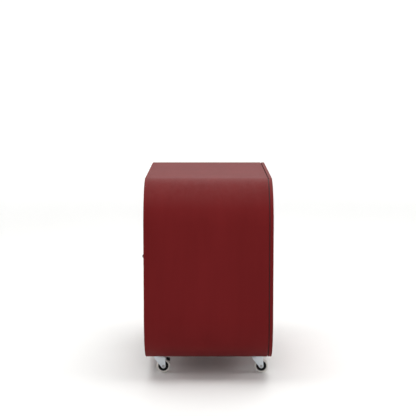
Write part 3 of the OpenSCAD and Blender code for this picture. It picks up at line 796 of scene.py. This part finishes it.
def makePlateScrews(settings):
    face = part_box("coin_plate")[0].y + settings["proud"]
    parts = []
    for x in (-settings["across"], settings["across"]):
        for z in settings["heights"]:
            parts.append(socketScrew((x, face, z), (0, -1, 0), settings["radius"], settings["height"],
                                     settings["shank"], settings["length"], settings["socket"]))
    obj = joinPieces(parts)
    smooth(obj, 40)
    place(obj, "coin_plate_screws", finish["polished"], "cabinet", "polished_steel")


def makeKnobScrew(side, settings):
    lo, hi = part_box("right_knob")
    inner = hi.y + settings["skin"]
    spot = Vector(((lo.x + hi.x) / 2, inner, (lo.z + hi.z) / 2))
    washer = rodBetween(spot, spot + Vector((0, settings["washerThick"], 0)), settings["washer"], 32)
    roundEdges(washer, settings["washerEdge"], 2)
    screw = socketScrew(spot + Vector((0, settings["washerThick"], 0)), (0, 1, 0), settings["radius"],
                        settings["height"], settings["shank"], settings["length"], settings["socket"])
    obj = onSide(joinPieces([washer, screw]), side)
    smooth(obj, 40)
    place(obj, side + "_knob_screw", finish["steel"], side + "_door", "steel_fixing")


def makePanelScrews(settings):
    back = panelHi.y
    parts = []
    for x, z in settings["spots"]:
        spot = Vector((x * mm, back, z * mm))
        screw = spinProfile([(0, 0), (settings["head"] - settings["rim"], 0), (settings["head"],
                                                                               -settings["rim"]),
                             (settings["shank"], -settings["deep"]), (settings["shank"], -settings["length"]),
                             (0, -settings["length"] - settings["point"])], spot, (0, 1, 0), 24)
        cutWith(screw, rodBetween(spot + Vector((0, 1 * mm, 0)), spot - Vector((0,
                                                                                settings["socketDeep"], 0)),
                                  settings["socket"], 6))
        parts.append(screw)
    obj = joinPieces(parts)
    smooth(obj, 40)
    place(obj, "panel_screws", finish["steel"], "cabinet", "steel_fixing", "back_screws")


makePlateScrews(plateScrews)
for side in sides:
    makeKnobScrew(side, knobScrew)
makePanelScrews(panelScrew)
print("screws ready")


# ---- castor fixings and bearings ----

castorFit = {"across": 275 * mm, "rows": (-165.5 * mm, 190.5 * mm), "pitch": 45 * mm,
             "head": 5.6 * mm, "headHigh": 3.5 * mm, "plateUnder": 67.5 * mm, "shank": 3 * mm,
             "shankTop": 78 * mm, "washer": 6.4 * mm, "washerThick": 0.8 * mm, "edge": 0.25 * mm}
bearing = {"profile": [(12, 59.6), (17.2, 59.6), (19.3, 60.4),
           (20.2, 61.8), (20.2, 63.4), (19.4, 64.4), (18.2, 65.0), (18.6, 66.2), (20.6, 67.5), (12, 67.5)]}


def makeCastorBolts(settings):
    parts = []
    for x in (-settings["across"], settings["across"]):
        for y in settings["rows"]:
            for dx in (-0.5, 0.5):
                for dy in (-0.5, 0.5):
                    spot = Vector((x + dx * settings["pitch"], y + dy * settings["pitch"],
                                   settings["plateUnder"]))
                    down = Vector((0, 0, -1))
                    head = rodBetween(spot + down * settings["washerThick"],
                                      spot + down * settings["headHigh"],
                                      settings["head"], 6)
                    washer = rodBetween(spot, spot + down * settings["washerThick"], settings["washer"], 24)
                    shank = rodBetween(spot, (spot.x, spot.y, settings["shankTop"]), settings["shank"], 16)
                    for part in (head, washer):
                        roundEdges(part, settings["edge"], 2)
                    parts += [head, washer, shank]
    obj = joinPieces(parts)
    smooth(obj)
    place(obj, "castor_hex_bolts", finish["steel"], "cabinet", "steel_fixing", "castor_bolts")


def makeBearings(settings):
    parts = []
    for x in (-castorFit["across"], castorFit["across"]):
        for y in castorFit["rows"]:
            points = [(radius * mm, height * mm) for radius, height in settings["profile"]]
            parts.append(spinProfile(points + points[:1], (x, y, 0), (0, 0, 1), 48))
    obj = joinPieces(parts)
    smooth(obj, 50)
    place(obj, "castor_bearings", finish["castorZinc"], "cabinet", "castor_zinc")


makeCastorBolts(castorFit)
makeBearings(bearing)


# ---- castor wheels and pedals ----

wheel = {"tyreShoulder": 3.5 * mm, "partingRib": 0.35 * mm, "ribWidth": 0.5 * mm, "seatTuck": 1.2 * mm,
         "seatRise": 1.4 * mm}


def makeTyre(castor, settings):
    lo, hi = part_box(castor + "_tyre")
    rimLo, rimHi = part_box(castor + "_rim")
    centre = (lo + hi) / 2
    outer, inner = (hi.z - lo.z) / 2 - settings["partingRib"], (rimHi.z - rimLo.z) / 2
    half, turn = (hi.x - lo.x) / 2, settings["tyreShoulder"]
    rib = settings["ribWidth"]
    tuck, rise = settings["seatTuck"], settings["seatRise"]
    profile = [(inner, -half + tuck), (inner + rise, -half)]
    profile += arc((outer - turn, -half + turn), turn, -90, -8, 7)
    profile += [(outer, -rib), (outer + settings["partingRib"], 0), (outer, rib)]
    profile += arc((outer - turn, half - turn), turn, 8, 90, 7)
    profile += [(inner + rise, half), (inner, half - tuck), (inner, -half + tuck)]
    obj = spinProfile(profile, centre, (1, 0, 0), 64)
    smooth(obj, 40)
    place(obj, castor + "_tread", finish["tread"], castor + "_wheel", "grey_tread", castor + "_tyre")


for castor in castorNames:
    makeTyre(castor, wheel)

pedal = {"padFrom": 0.42, "padGrip": 0.9 * mm, "edge": 0.5 * mm}


def makePedal(castor, settings):
    # pressed lever with a moulded pad pushed over its end, cut from the pedal's own outline
    lo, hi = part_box(castor + "_brake")
    split = lo.y + (hi.y - lo.y) * settings["padFrom"]
    for part, look, slot, keepPad in (("pad", "plastic", "black_plastic", True),
                                      ("lever", "castorZinc", "castor_zinc", False)):
        obj = copyOfNode(castor + "_brake", castor + "_pedal_" + part, 0)
        editWith(obj, "FACE", lambda centre, normal: True)
        bpy.ops.mesh.bisect(plane_co=(0, split, 0), plane_no=(0, 1, 0), use_fill=True,
                            clear_inner=keepPad, clear_outer=not keepPad)
        leaveEdit()
        if not keepPad:
            for facing in (-1, 1):
                editWith(obj, "FACE", lambda centre, normal: normal.x * facing > 0.9)
                bpy.ops.transform.translate(value=(-facing * settings["padGrip"], 0, 0))
                leaveEdit()
        roundEdges(obj, settings["edge"], 2)
        smooth(obj)
        if keepPad:
            place(obj, castor + "_pedal_pad", finish[look], castor + "_pedal", slot, castor + "_brake")
        else:
            place(obj, castor + "_pedal_lever", finish[look], castor + "_pedal", slot)


for castor in castorNames[:2]:
    makePedal(castor, pedal)
print("castors ready")
